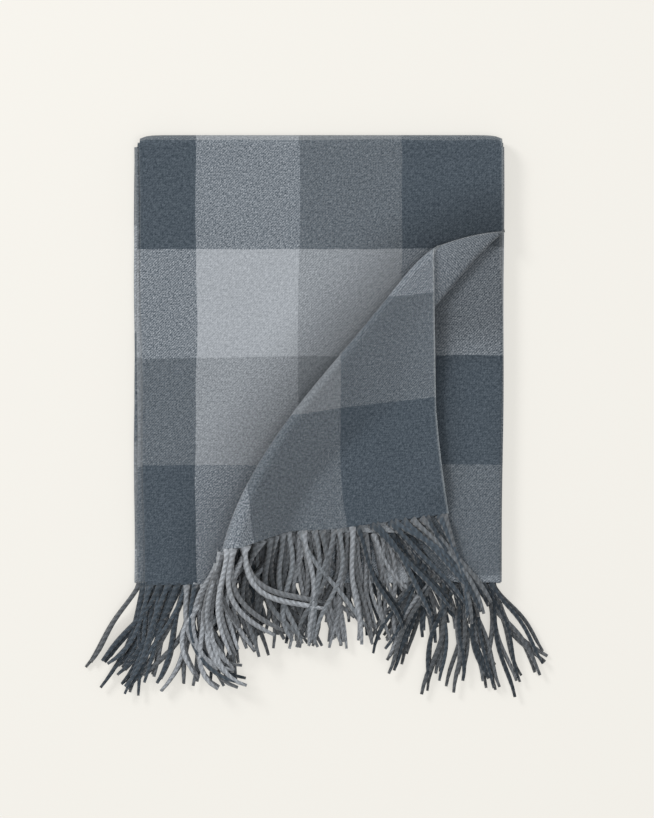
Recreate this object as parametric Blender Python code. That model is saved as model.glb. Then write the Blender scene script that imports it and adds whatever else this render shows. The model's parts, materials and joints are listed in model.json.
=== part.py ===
"""Folded throw blanket: sixteen layers of one plaid cloth with a pleated, displaced corner and a fringed hem.

Row frame: X to the right, Y from the hem towards the top fold, Z up from the surface it lies on.
The cloth is halved, pleated four-fold across its width and halved again at the top fold, so the eight
upper layers end in fringe and the eight lower layers end in turned edges.
"""
import math

import bmesh
import bpy
from mathutils import Vector

# --- driving dimensions, metres ---
BODY_WIDTH = 0.3215
LEFT_X = -0.1670
TOP_Y = 0.2520
HEM_Y = -0.1460
CLOTH = 0.00105
AIR = 0.00030
LAYERS_PER_HALF = 8
SIDE_MARGIN = 0.0026
LEAF_STAGGER = 0.0004

FRINGE_LENGTH = 0.092
TOOTH_WIDTH = 0.0038
TOOTH_SPACING = 0.0078
TIP_TAPER = 0.6
FRINGE_SLOPE = 0.105
RIGHT_FRINGE_LENGTH = 0.1057
LEFT_LEAN = -0.0405
ARCH_END_X = -0.0260
RIGHT_LEAN = 0.0541
TEETH_LEFT = 10
TEETH_LEFT_FACE = 5
TEETH_MIDDLE = 15
TEETH_RIGHT = 17

# The pleat that takes up the displaced corner, in plan. Its base and its landing are lines on the flat cloth.
BASE_HEM = Vector((-0.1316, -0.1460))
BASE_SIDE = Vector((0.1545, 0.1954))
LAND_HEM = Vector((0.0500, -0.1460))
LAND_SIDE = Vector((0.1545, -0.0560))
SHIFT_LEFT = 0.062
SHIFT_LEFT_EASE = 0.014
SHIFT_UP = 0.048
SHIFT_UP_TILT = 0.012
CREST_LEAN = -0.021
RISE_ANGLE = (math.radians(112), math.radians(172))
FALL_ANGLE = (math.radians(56), math.radians(11))
BASE_RADIUS = (0.0045, 0.0018)
CREST_RADIUS = (0.0060, 0.0030)
LAND_RADIUS = (0.0180, 0.0400)
PLEAT_ROWS = 16
HINGE_CLEARANCE = 0.005

# --- derived dimensions ---
PITCH = CLOTH + AIR
RIGHT_X = LEFT_X + BODY_WIDTH
STACK = 2 * LAYERS_PER_HALF * PITCH - AIR
FOLD_RADIUS = STACK / 2
FOLD_AXIS_Y = TOP_Y - FOLD_RADIUS
RIDGE = (BASE_SIDE - BASE_HEM).normalized()
RIDGE_LENGTH = (BASE_SIDE - BASE_HEM).length
ACROSS = Vector((RIDGE.y, -RIDGE.x))
FACE_Z = (2 * LAYERS_PER_HALF - 1) * PITCH + CLOTH / 2

YARN_DARK = (0.076, 0.096, 0.117)
YARN_MID = (0.205, 0.227, 0.250)
YARN_LIGHT = (0.376, 0.402, 0.434)


def reset_scene():
    """Empty the scene and return the collection that takes the parts."""
    for old in list(bpy.data.objects):
        bpy.data.objects.remove(old, do_unlink=True)
    parts = bpy.data.collections.new("folded_throw_blanket")
    bpy.context.scene.collection.children.link(parts)
    return parts


def fabric(name, colour):
    """A matt woven wool material in one yarn colour."""
    material = bpy.data.materials.new(name)
    material.use_nodes = True
    shader = material.node_tree.nodes["Principled BSDF"]
    shader.inputs["Base Color"].default_value = (*colour, 1.0)
    shader.inputs["Roughness"].default_value = 0.9
    shader.inputs["Sheen Weight"].default_value = 0.4
    return material


def finish(bm, name, parts, material):
    """Turn a closed bmesh into a named object with outward faces."""
    bmesh.ops.remove_doubles(bm, verts=bm.verts, dist=0.00001)
    bmesh.ops.recalc_face_normals(bm, faces=bm.faces)
    mesh = bpy.data.meshes.new(name)
    bm.to_mesh(mesh)
    bm.free()
    piece = bpy.data.objects.new(name, mesh)
    piece.data.materials.append(material)
    parts.objects.link(piece)
    return piece


def layer_z(layer):
    """Height of the middle of a layer, counted from 1 at the bottom."""
    return CLOTH / 2 + (layer - 1) * PITCH


def extrude_outline(outline, low, high):
    """A plate with the given outline between two heights."""
    bm = bmesh.new()
    corners = [bm.verts.new((x, y, low)) for x, y in outline]
    base = bm.faces.new(corners)
    made = bmesh.ops.extrude_face_region(bm, geom=[base])
    raised = [item for item in made["geom"] if isinstance(item, bmesh.types.BMVert)]
    bmesh.ops.translate(bm, verts=raised, vec=(0, 0, high - low))
    return bm


def plate(name, layer, outline, parts, material):
    """One flat layer of cloth."""
    z = layer_z(layer)
    return finish(extrude_outline(outline, z - CLOTH / 2, z + CLOTH / 2), name, parts, material)


def leaf_outline(layer):
    """Rectangle of one full layer, each a little off its neighbour as folded cloth is."""
    stagger = LEAF_STAGGER * (layer % 3)
    left = LEFT_X + SIDE_MARGIN + stagger
    right = RIGHT_X - SIDE_MARGIN - LEAF_STAGGER * ((layer + 1) % 3)
    hem = HEM_Y + SIDE_MARGIN
    top = FOLD_AXIS_Y - AIR
    return [(left, hem), (right, hem), (right, top), (left, top)]


def mix(ends, share):
    """Value between the hem end and the side end of the pleat."""
    return ends[0] + (ends[1] - ends[0]) * share


def displaced(point):
    """Where a point of the flat cloth lies once the corner has been pushed up and to the left."""
    ease = max(0.020 - point.y, 0.0) / 0.166
    down = min(max((0.054 - point.y) / 0.095, 0.0), 1.0)
    left = SHIFT_LEFT - SHIFT_LEFT_EASE * ease * ease
    up = SHIFT_UP + SHIFT_UP_TILT * down * (point.x - 0.066) / 0.088 + 0.015 * (0.054 - point.y)
    return Vector((point.x - left, point.y + up))


def crest_across(fraction):
    """How far the crest leans over, measured across the ridge from the base line."""
    low = max(1 - fraction / 0.494, 0.0)
    high = max((fraction - 0.727) / 0.112, 0.0)
    return CREST_LEAN + 0.062 * low ** 2.4 + 0.008 * high * high


def hinge_across(fraction):
    """The straight line the corner turns about, just right of the crest's two ends."""
    ends = (crest_across(0.065), crest_across(0.839))
    return mix(ends, (fraction - 0.065) / 0.774) + HINGE_CLEARANCE


def bend(start, end, length):
    """Advance and rise of cloth that turns evenly from one slope to another."""
    turn = end - start
    return Vector(((math.sin(end) - math.sin(start)) * length / turn,
                   (math.cos(start) - math.cos(end)) * length / turn))


def pleat_segments(share):
    """Slopes and lengths of the cloth across the pleat: flat, turn up, rise, crest, fall, land, flat."""
    base = BASE_HEM.lerp(BASE_SIDE, share)
    land_cloth = LAND_HEM.lerp(LAND_SIDE, share)
    land = displaced(land_cloth)
    width = (land_cloth - base).dot(ACROSS)
    surplus = width - (land - base).dot(ACROSS)
    rise, fall = mix(RISE_ANGLE, share ** 0.45), mix(FALL_ANGLE, share ** 0.6)
    turns = (mix(BASE_RADIUS, share) * rise, mix(CREST_RADIUS, share) * (rise + fall),
             mix(LAND_RADIUS, share) * fall)
    slopes = ((0.0, rise), (rise, -fall), (-fall, 0.0))
    bends = [bend(start, end, length) for (start, end), length in zip(slopes, turns)]
    spare = surplus - sum(turns) + sum(step.x for step in bends)
    lift = sum(step.y for step in bends)
    matrix = ((1 - math.cos(rise), 1 - math.cos(fall)), (math.sin(rise), -math.sin(fall)))
    determinant = matrix[0][0] * matrix[1][1] - matrix[0][1] * matrix[1][0]
    up = (spare * matrix[1][1] + lift * matrix[0][1]) / determinant
    down = (-matrix[0][0] * lift - matrix[1][0] * spare) / determinant
    leftmost = bends[0].x + up * math.cos(rise) - mix(CREST_RADIUS, share) * (1 - math.sin(rise))
    fraction = share + (land - base).dot(RIDGE) * 0.45 / RIDGE_LENGTH
    flat = max(crest_across(fraction) - leftmost, 0.002)
    over = flat + bends[0].x + up * math.cos(rise) + bends[1].x
    hinge = (hinge_across(fraction) - over) / math.cos(fall)
    hinge = min(max(hinge, 0.002), down - 0.002)
    rest = width - flat - sum(turns) - up - down
    return [(0.0, 0.0, flat), (0.0, rise, turns[0]), (rise, rise, up), (rise, -fall, turns[1]),
            (-fall, -fall, hinge), (-fall, -fall, down - hinge), (-fall, 0.0, turns[2]), (0.0, 0.0, rest)]


def pleat_row(share, first, last, steps):
    """Points of one row of cloth across the pleat, between two of its segments."""
    base = BASE_HEM.lerp(BASE_SIDE, share)
    drift = (displaced(LAND_HEM.lerp(LAND_SIDE, share)) - base).dot(RIDGE)
    segments = pleat_segments(share)
    total = sum(length for start, end, length in segments)
    points = []
    here = Vector((0.0, 0.0))
    run = 0.0
    for index, (start, end, length) in enumerate(segments):
        for step in range(steps):
            slope = start + (end - start) * (step + 0.5) / steps
            if first <= index < last:
                plan = base + ACROSS * here.x + RIDGE * (drift * run / total)
                points.append(Vector((plan.x, plan.y, FACE_Z + here.y)))
            here = here + Vector((math.cos(slope), math.sin(slope))) * (length / steps)
            run += length / steps
        if index == last - 1:
            plan = base + ACROSS * here.x + RIDGE * (drift * run / total)
            points.append(Vector((plan.x, plan.y, FACE_Z + here.y)))
    return points


def corner_row(share, steps):
    """One row of the displaced corner from the hinge line over the landing to the side edge."""
    points = pleat_row(share, 5, 8, 3)
    start = LAND_HEM.lerp(LAND_SIDE, share)
    for step in range(1, steps + 1):
        cloth = Vector((start.x + (RIGHT_X - AIR - start.x) * step / steps, start.y))
        plan = displaced(cloth)
        if share < 1:
            points.append(Vector((plan.x, plan.y, FACE_Z)))
        else:
            points.append(points[-1] + Vector((0.0002, 0.0, 0.0)))
    return points


def draped(name, rows, drop, parts, material):
    """A layer of cloth through rows of points, let down by the given distance and given its thickness."""
    across, along = len(rows[0]), len(rows)
    bm = bmesh.new()
    made = bmesh.ops.create_grid(bm, x_segments=across - 1, y_segments=along - 1, size=1.0)
    for vert in made["verts"]:
        column = round((vert.co.x + 1) / 2 * (across - 1))
        row = round((vert.co.y + 1) / 2 * (along - 1))
        vert.co = rows[row][column]
    bm.normal_update()
    shifts = [vert.normal.copy() for vert in bm.verts]
    for vert, normal in zip(bm.verts, shifts):
        vert.co -= normal * (drop + CLOTH / 2)
    bmesh.ops.solidify(bm, geom=bm.faces[:], thickness=-CLOTH)
    return finish(bm, name, parts, material)


def face_outline():
    """Plan of the flat part of the two top layers, as far as the base of the pleat."""
    top = FOLD_AXIS_Y - AIR
    left = LEFT_X + SIDE_MARGIN
    right = RIGHT_X - SIDE_MARGIN
    hem = HEM_Y + SIDE_MARGIN
    back = ACROSS * -AIR
    near = BASE_HEM + back + RIDGE * (SIDE_MARGIN / RIDGE.y)
    far = BASE_SIDE + back - RIDGE * (SIDE_MARGIN / RIDGE.x)
    return [(left, hem), (near.x, near.y), (far.x, far.y), (right, top), (left, top)]


def pleat_and_corner(parts, pleat_material, corner_material):
    """The pleat and the displaced corner, each as a face layer with its lining below."""
    shares = [0.009 + 0.975 * row / PLEAT_ROWS for row in range(PLEAT_ROWS + 1)]
    pleat = [pleat_row(share, 0, 5, 6)[:-1] for share in shares]
    corner = [corner_row(share, 6) for share in shares]
    for kind, drop in (("lining", PITCH), ("face", 0.0)):
        draped("pleat_" + kind, pleat, drop, parts, pleat_material)
        draped("corner_" + kind, corner, drop, parts, corner_material)


def half_ring(name, radius, axis_start, axis_end, middle, sweep_normal, parts, material):
    """A half-round fold of cloth about an axis, swept from straight above it round to straight below."""
    bm = bmesh.new()
    start, end = Vector(axis_start), Vector(axis_end)
    inner, outer = radius - CLOTH / 2, radius + CLOTH / 2
    up = Vector((0, 0, 1))
    corners = [start + up * inner, end + up * inner, end + up * outer, start + up * outer]
    face = bm.faces.new([bm.verts.new(corner) for corner in corners])
    axis = (end - start).normalized()
    steps = max(6, min(12, int(radius * 1500)))
    made = bmesh.ops.spin(bm, geom=[face], cent=middle, axis=axis * sweep_normal, angle=math.pi,
                          steps=steps, use_duplicate=False)
    ends = [item for item in made["geom_last"] if isinstance(item, bmesh.types.BMFace)]
    if not ends:
        raise RuntimeError("the fold has no end face")
    return finish(bm, name, parts, material)


def top_folds(parts, material):
    """Nested half rounds that carry the eight layers from the lower half up into the upper half."""
    for ring in range(1, LAYERS_PER_HALF + 1):
        radius = (ring - 0.5) * PITCH
        left = LEFT_X + SIDE_MARGIN + LEAF_STAGGER * (ring % 3)
        right = RIGHT_X - SIDE_MARGIN - LEAF_STAGGER * ((ring + 1) % 3)
        half_ring("top_fold_%d" % ring, radius, (left, FOLD_AXIS_Y, STACK / 2), (right, FOLD_AXIS_Y, STACK / 2),
                  (left, FOLD_AXIS_Y, STACK / 2), -1, parts, material)


def side_folds(parts, material):
    """Half rounds along the two long sides where the pleated layer pairs turn."""
    top = FOLD_AXIS_Y - 4 * AIR
    hem = HEM_Y + SIDE_MARGIN + 4 * AIR
    turns = [("left", 1, 3), ("right", 3, 5), ("left", 5, 7), ("left", 9, 11), ("right", 11, 13), ("left", 13, 15)]
    for side, low, high in turns:
        z = (layer_z(low) + layer_z(high + 1)) / 2
        x = LEFT_X + SIDE_MARGIN - AIR if side == "left" else RIGHT_X - SIDE_MARGIN + AIR
        turn = -1 if side == "left" else 1
        half_ring("%s_fold_%d" % (side, low), PITCH * 1.5, (x, hem, z), (x, top, z), (x, hem, z), turn,
                  parts, material)


def hem_folds(parts, material):
    """Half rounds at the hem where each pair of lower layers turns into one another."""
    for pair in range(4):
        z = (layer_z(2 * pair + 1) + layer_z(2 * pair + 2)) / 2
        left = LEFT_X + 2 * SIDE_MARGIN
        right = RIGHT_X - 2 * SIDE_MARGIN
        y = HEM_Y + SIDE_MARGIN - AIR
        half_ring("hem_fold_%d" % (pair + 1), PITCH / 2, (left, y, z), (right, y, z), (left, y, z), 1,
                  parts, material)


def tooth_path(root, lean, length, slope, steps):
    """Centre points of one strand: it leans sideways more and more and runs down at an even slope."""
    path = []
    for step in range(steps + 1):
        share = step / steps
        path.append(root + Vector((lean * share * share, -length * share, -slope * length * share)))
    return path


def fringe_row(name, roots, leans, lengths, slopes, parts, material):
    """One row of fringe: a thin hem bar with a tapered, bent strand drawn out of it at every root."""
    bm = bmesh.new()
    half = TOOTH_WIDTH / 2
    stops = []
    for root in roots:
        stops.extend([(root.x - half, root), (root.x + half, root)])
    front = [Vector((x, root.y, root.z)) for x, root in stops]
    columns = []
    for point in front:
        lower_front = bm.verts.new(point + Vector((0, 0, -CLOTH / 2)))
        upper_front = bm.verts.new(point + Vector((0, 0, CLOTH / 2)))
        upper_back = bm.verts.new(point + Vector((0, SIDE_MARGIN, CLOTH / 2)))
        lower_back = bm.verts.new(point + Vector((0, SIDE_MARGIN, -CLOTH / 2)))
        columns.append([lower_front, upper_front, upper_back, lower_back])
    bm.faces.new(columns[0])
    bm.faces.new(columns[-1])
    fronts = []
    for before, after in zip(columns[:-1], columns[1:]):
        for side in range(4):
            other = (side + 1) % 4
            face = bm.faces.new((before[side], before[other], after[other], after[side]))
            if side == 0:
                fronts.append(face)
    for index, root in enumerate(roots):
        path = tooth_path(root, leans[index], lengths[index], slopes[index], 2)
        face = fronts[2 * index]
        for before, after in zip(path[:-1], path[1:]):
            made = bmesh.ops.extrude_discrete_faces(bm, faces=[face])
            face = made["faces"][0]
            bmesh.ops.translate(bm, verts=face.verts, vec=after - before)
        for vert in face.verts:
            vert.co.x = path[-1].x + (vert.co.x - path[-1].x) * TIP_TAPER
    return finish(bm, name, parts, material)


def spread(count, start, end, first_lean, last_lean, length):
    """Evenly spaced roots from start to end with leans that change steadily and uneven lengths."""
    roots, leans, lengths = [], [], []
    for index in range(count):
        share = index / (count - 1)
        roots.append(start.lerp(end, share))
        leans.append(first_lean + (last_lean - first_lean) * share)
        lengths.append(length * (1 - 0.05 * (index % 3)))
    return roots, leans, lengths, [FRINGE_SLOPE] * count


def fringe(parts, material):
    """Rows of fringe along the hem: the free group at the left on all eight upper layers, the rest on six."""
    for row in range(1, LAYERS_PER_HALF + 1):
        layer = LAYERS_PER_HALF + row
        y = HEM_Y - AIR
        z = layer_z(layer)
        start = Vector((LEFT_X + 0.003, y, z))
        count = TEETH_LEFT if row < LAYERS_PER_HALF - 1 else TEETH_LEFT_FACE
        end = start + Vector((TOOTH_SPACING * (count - 1), 0, 0))
        length = FRINGE_LENGTH - 0.002 * (row % 3)
        group = spread(count, start, end, LEFT_LEAN, -0.006, length)
        fringe_row("left_fringe_%d" % row, *group, parts, material)
    for row in range(1, LAYERS_PER_HALF - 1):
        layer = LAYERS_PER_HALF + row
        y = HEM_Y - AIR
        z = layer_z(layer)
        start = Vector((LEFT_X + 0.003 + TOOTH_SPACING * TEETH_LEFT, y, z))
        end = start + Vector((TOOTH_SPACING * (TEETH_MIDDLE - 1), 0, 0))
        middle = spread(TEETH_MIDDLE, start, end, -0.006, 0.006, 0.046 + 0.002 * (row % 3))
        start = end + Vector((TOOTH_SPACING, 0, 0))
        end = Vector((RIGHT_X - 0.004, y, z))
        right = spread(TEETH_RIGHT, start, end, 0.006, RIGHT_LEAN, RIGHT_FRINGE_LENGTH - 0.003 * (row % 3))
        both = [near + far for near, far in zip(middle, right)]
        fringe_row("hem_fringe_%d" % row, *both, parts, material)


def hem_strands(hem, start, end, drop):
    """Roots, leans, lengths and slopes of the strands on the corner's hem between two positions along X."""
    roots, leans, lengths, slopes = [], [], [], []
    x = start
    while x < end - TOOTH_WIDTH:
        after = next(index for index, point in enumerate(hem) if point.x > x)
        before = hem[after - 1]
        share = (x - before.x) / (hem[after].x - before.x)
        point = before.lerp(hem[after], share)
        roots.append(point - Vector((0.0, SIDE_MARGIN + 0.0030, drop)))
        leans.append(-0.006 + 0.040 * (x - hem[0].x) / (hem[-1].x - hem[0].x))
        lengths.append(FRINGE_LENGTH * (1 - 0.04 * (len(roots) % 3)))
        slopes.append((point.z - FACE_Z) / FRINGE_LENGTH)
        x += TOOTH_SPACING
    return roots, leans, lengths, slopes


def corner_fringe(parts, material):
    """Two rows of fringe on the hem of the displaced corner: over the open end of the pleat, and on the flat."""
    hem = corner_row(0.0, 6)
    for row, drop in ((1, PITCH), (2, 0.0)):
        arch = hem_strands(hem, hem[0].x, ARCH_END_X, drop)
        flat = hem_strands(hem, ARCH_END_X, hem[-1].x, drop)
        fringe_row("arch_fringe_%d" % row, *arch, parts, material)
        fringe_row("corner_fringe_%d" % row, *flat, parts, material)


def build():
    """Lay the blanket up from the bottom layer to the displaced corner."""
    parts = reset_scene()
    dark = fabric("wool_dark", YARN_DARK)
    mid = fabric("wool_mid", YARN_MID)
    light = fabric("wool_light", YARN_LIGHT)
    for layer in range(1, LAYERS_PER_HALF + 1):
        plate("lower_leaf_%d" % layer, layer, leaf_outline(layer), parts, mid)
    for layer in range(1, LAYERS_PER_HALF - 1):
        plate("upper_leaf_%d" % layer, LAYERS_PER_HALF + layer, leaf_outline(layer), parts, mid)
    plate("face_lining", 2 * LAYERS_PER_HALF - 1, face_outline(), parts, mid)
    plate("face_leaf", 2 * LAYERS_PER_HALF, face_outline(), parts, light)
    pleat_and_corner(parts, light, dark)
    top_folds(parts, mid)
    side_folds(parts, dark)
    hem_folds(parts, mid)
    fringe(parts, mid)
    corner_fringe(parts, dark)


build()
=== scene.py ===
import json
import math
import random

import bmesh
import bpy
from bpy.props import FloatProperty, FloatVectorProperty, PointerProperty
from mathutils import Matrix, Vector, noise

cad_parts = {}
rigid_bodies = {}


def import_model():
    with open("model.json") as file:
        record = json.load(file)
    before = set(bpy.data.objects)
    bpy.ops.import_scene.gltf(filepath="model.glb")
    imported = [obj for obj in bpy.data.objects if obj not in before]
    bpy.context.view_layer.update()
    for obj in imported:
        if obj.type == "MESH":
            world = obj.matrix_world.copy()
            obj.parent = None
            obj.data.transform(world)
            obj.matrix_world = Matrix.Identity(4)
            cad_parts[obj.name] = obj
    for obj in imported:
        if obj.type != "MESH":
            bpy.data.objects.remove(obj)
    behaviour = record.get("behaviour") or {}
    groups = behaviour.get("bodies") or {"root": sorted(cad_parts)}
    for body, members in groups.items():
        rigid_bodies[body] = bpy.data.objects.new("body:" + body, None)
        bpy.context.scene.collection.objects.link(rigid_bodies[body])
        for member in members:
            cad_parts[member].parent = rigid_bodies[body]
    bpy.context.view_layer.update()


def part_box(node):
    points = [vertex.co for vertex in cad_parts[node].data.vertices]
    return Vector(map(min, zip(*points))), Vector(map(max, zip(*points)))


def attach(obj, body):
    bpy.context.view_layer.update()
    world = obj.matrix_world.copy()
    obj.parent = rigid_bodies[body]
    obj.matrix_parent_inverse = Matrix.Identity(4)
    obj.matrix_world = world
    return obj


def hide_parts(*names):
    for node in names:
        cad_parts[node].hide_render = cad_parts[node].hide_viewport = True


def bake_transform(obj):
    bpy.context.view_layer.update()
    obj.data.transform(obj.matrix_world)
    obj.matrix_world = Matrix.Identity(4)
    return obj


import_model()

bl_info = {
    "name": "Folded Throw Blanket",
    "version": (1, 0, 0),
    "blender": (4, 5, 0),
    "location": "View3D > Sidebar > Blanket",
    "description": "Builds a folded plaid throw with a pushed-up corner and a twisted fringe",
    "category": "Object",
}

# --- where the folded stack lies, from the frame ---
LAYERS = 16
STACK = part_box("face_leaf")[1][2]
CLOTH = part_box("face_leaf")[1][2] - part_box("face_leaf")[0][2]
PITCH = (STACK - CLOTH) / (LAYERS - 1)
TOP_Z = STACK - CLOTH / 2
TOP_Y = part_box("top_fold_8")[1][1]
AXIS_Y = TOP_Y - STACK / 2
HEM_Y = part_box("hem_fold_1")[0][1] + 0.0010
RIGHT_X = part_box("right_fold_3")[1][0]
LEFT_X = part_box("left_fold_1")[0][0]
TURN = PITCH * 1.5 + CLOTH / 2
SIDE_FRINGE_END = -0.0938

# --- the pleat that takes up the displaced corner: its base and landing lines on the flat cloth ---
BASE_HEM = Vector((-0.1316, -0.1460))
BASE_SIDE = Vector((0.1545, 0.1954))
LAND_HEM = Vector((0.0500, -0.1460))
LAND_SIDE = Vector((0.1545, -0.0560))
RIDGE = (BASE_SIDE - BASE_HEM).normalized()
RIDGE_LENGTH = (BASE_SIDE - BASE_HEM).length
ACROSS = Vector((RIDGE.y, -RIDGE.x))
RISE_ANGLE = (math.radians(112), math.radians(172))
FALL_ANGLE = (math.radians(56), math.radians(11))
BASE_RADIUS = (0.0045, 0.0018)
CREST_RADIUS = (0.0060, 0.0030)
LAND_RADIUS = (0.0180, 0.0400)

# --- the cloth as it was cut ---
CLOTH_WIDTH = 1.300
CLOTH_LENGTH = 1.648
WARP_CHECK = 0.0915
WARP_SHIFT = 0.0032
WEFT_CHECK = 0.0961
WEFT_SHIFT = 0.0062
LAST_WEFT = 1.6424
PLY_RUN = 0.3245
HEM_RAISE = 0.044
RAISED_FROM = -0.118
RAISED_TO = 0.108

# --- layers from the floor up: those of the lower half, and all below the top ply ---
LOWER_LAYERS = 8
UNDER_LAYERS = 14

# --- how finely the shapes are divided ---
PLEAT_STEPS = (3, 10, 8, 16, 6, 10, 8, 3)
TO_HINGE = (0, 5)
PAST_HINGE = (5, 8)
ROWS = 150
COLUMNS = 26
SIDES = 5
RINGS = 13
FAMILIES = 3

# --- materials and stage ---
GAMMA = 2.2
SELVEDGE = (0.62, 0.63, 0.63, 1.0)
# Width of the painted shade on the top ply beside the pleat's crest.
CREST_SHADE_WIDTH = 0.066
# Width of the painted shade in the crevice beside the top ply's left fold.
FOLD_SHADE_WIDTH = 0.0030
FLOOR_SHADE = 0.35
FLOOR_GLOW = 0.60
ROOM_LIGHT = 0.50
LAMPS = (("window", (-2.1, 2.0, 2.4), 1.1, 74.0), ("softbox", (0.5, -0.4, 3.4), 1.4, 34.0))
VIEW_CENTRE = Vector((-0.0009, 0.0093, STACK))
VIEW_HEIGHT = 0.7223
CAMERA_DISTANCE = 3.0


class BlanketSizes(bpy.types.PropertyGroup):
    """Sizes of the cloth and its fringe."""
    cloth_thickness: FloatProperty(name="Cloth thickness", description="Thickness of one layer of cloth",
                                   default=0.0011, min=0.0004, max=0.0013, unit="LENGTH")
    fringe_length: FloatProperty(name="Fringe length", description="Length of a fringe strand",
                                 default=0.094, min=0.03, max=0.11, unit="LENGTH")
    strand_diameter: FloatProperty(name="Strand diameter", description="Thickness of one twisted strand",
                                   default=0.0044, min=0.001, max=0.006, unit="LENGTH")
    strand_spacing: FloatProperty(name="Strand spacing", description="Distance between strands on the hem",
                                  default=0.0078, min=0.004, max=0.02, unit="LENGTH")
    twill_width: FloatProperty(name="Twill width", description="Distance between two weave diagonals",
                               default=0.0024, min=0.001, max=0.008, unit="LENGTH")
    ply_pitch: FloatProperty(name="Strand twist", description="Length of one turn of a twisted strand",
                             default=0.0120, min=0.003, max=0.03, unit="LENGTH")


class BlanketColours(bpy.types.PropertyGroup):
    """Yarn colours and the floor."""
    dark: FloatVectorProperty(name="Dark yarn", description="Colour of the dark stripes",
                              default=(0.064, 0.082, 0.101), min=0, max=1, size=3, subtype="COLOR")
    mid: FloatVectorProperty(name="Middle yarn", description="Colour of the middle stripes",
                             default=(0.176, 0.193, 0.210), min=0, max=1, size=3, subtype="COLOR")
    light: FloatVectorProperty(name="Light yarn", description="Colour of the light stripes",
                               default=(0.345, 0.369, 0.397), min=0, max=1, size=3, subtype="COLOR")
    floor: FloatVectorProperty(name="Floor", description="Colour of the floor",
                               default=(0.925, 0.902, 0.845), min=0, max=1, size=3, subtype="COLOR")


def sizes():
    """The sizes that the panel shows."""
    return bpy.context.scene.blanket_sizes


def colours():
    """The colours that the panel shows."""
    return bpy.context.scene.blanket_colours


# --- shape of the folded cloth ---

def mix(ends, share):
    """Value between the hem end and the side end of the pleat."""
    return ends[0] + (ends[1] - ends[0]) * share


def ease(value):
    """Smooth step of a value held between 0 and 1."""
    value = min(max(value, 0.0), 1.0)
    return value * value * (3 - 2 * value)


def ripple(x, y, z):
    """Small rise and fall of the soft stack, none at the floor and at the top fold."""
    wave = noise.noise(Vector((x * 9, y * 9, 3.1))) + 0.5 * noise.noise(Vector((x * 24, y * 24, 7.7)))
    return 0.0010 * wave * (z / STACK) * ease((AXIS_Y - y) / 0.05)


def displaced(point):
    """Where a point of the flat cloth lies once the corner has been pushed up and to the left."""
    bend = max(0.020 - point.y, 0.0) / 0.166
    down = min(max((0.054 - point.y) / 0.095, 0.0), 1.0)
    left = 0.062 - 0.014 * bend * bend
    up = 0.048 + 0.012 * down * (point.x - 0.066) / 0.088 + 0.015 * (0.054 - point.y)
    return Vector((point.x - left, point.y + up))


def crest_across(fraction):
    """How far the crest leans over, measured across the ridge from the base line."""
    low = max(1 - fraction / 0.494, 0.0)
    high = max((fraction - 0.727) / 0.112, 0.0)
    return -0.021 + 0.062 * low ** 2.4 + 0.008 * high * high


def hinge_across(fraction):
    """The straight line the corner turns about, just right of the crest's two ends."""
    ends = (crest_across(0.065), crest_across(0.839))
    return mix(ends, (fraction - 0.065) / 0.774) + 0.005


def turned(start, end, length):
    """Advance and rise of cloth that turns evenly from one slope to another."""
    turn = end - start
    if abs(turn) < 1e-6:
        return Vector((math.cos(start), math.sin(start))) * length
    return Vector(((math.sin(end) - math.sin(start)) * length / turn,
                   (math.cos(start) - math.cos(end)) * length / turn))


def pleat_segments(share):
    """Slopes and lengths across the pleat: flat, turn, rise, crest, fall to the hinge, fall, land, flat."""
    base = BASE_HEM.lerp(BASE_SIDE, share)
    land_cloth = LAND_HEM.lerp(LAND_SIDE, share)
    land = displaced(land_cloth)
    width = (land_cloth - base).dot(ACROSS)
    surplus = width - (land - base).dot(ACROSS)
    rise, fall = mix(RISE_ANGLE, share ** 0.45), mix(FALL_ANGLE, share ** 0.6)
    turns = (mix(BASE_RADIUS, share) * rise, mix(CREST_RADIUS, share) * (rise + fall),
             mix(LAND_RADIUS, share) * fall)
    bends = [turned(0.0, rise, turns[0]), turned(rise, -fall, turns[1]), turned(-fall, 0.0, turns[2])]
    spare = surplus - sum(turns) + sum(step.x for step in bends)
    lift = sum(step.y for step in bends)
    matrix = ((1 - math.cos(rise), 1 - math.cos(fall)), (math.sin(rise), -math.sin(fall)))
    determinant = matrix[0][0] * matrix[1][1] - matrix[0][1] * matrix[1][0]
    up = (spare * matrix[1][1] + lift * matrix[0][1]) / determinant
    down = (-matrix[0][0] * lift - matrix[1][0] * spare) / determinant
    leftmost = bends[0].x + up * math.cos(rise) - mix(CREST_RADIUS, share) * (1 - math.sin(rise))
    fraction = share + (land - base).dot(RIDGE) * 0.45 / RIDGE_LENGTH
    flat = max(crest_across(fraction) - leftmost, 0.002)
    over = flat + bends[0].x + up * math.cos(rise) + bends[1].x
    hinge = (hinge_across(fraction) - over) / math.cos(fall)
    hinge = min(max(hinge, 0.002), down - 0.002)
    rest = width - flat - sum(turns) - up - down
    return [(0.0, 0.0, flat), (0.0, rise, turns[0]), (rise, rise, up), (rise, -fall, turns[1]),
            (-fall, -fall, hinge), (-fall, -fall, down - hinge), (-fall, 0.0, turns[2]), (0.0, 0.0, rest)]


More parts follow.
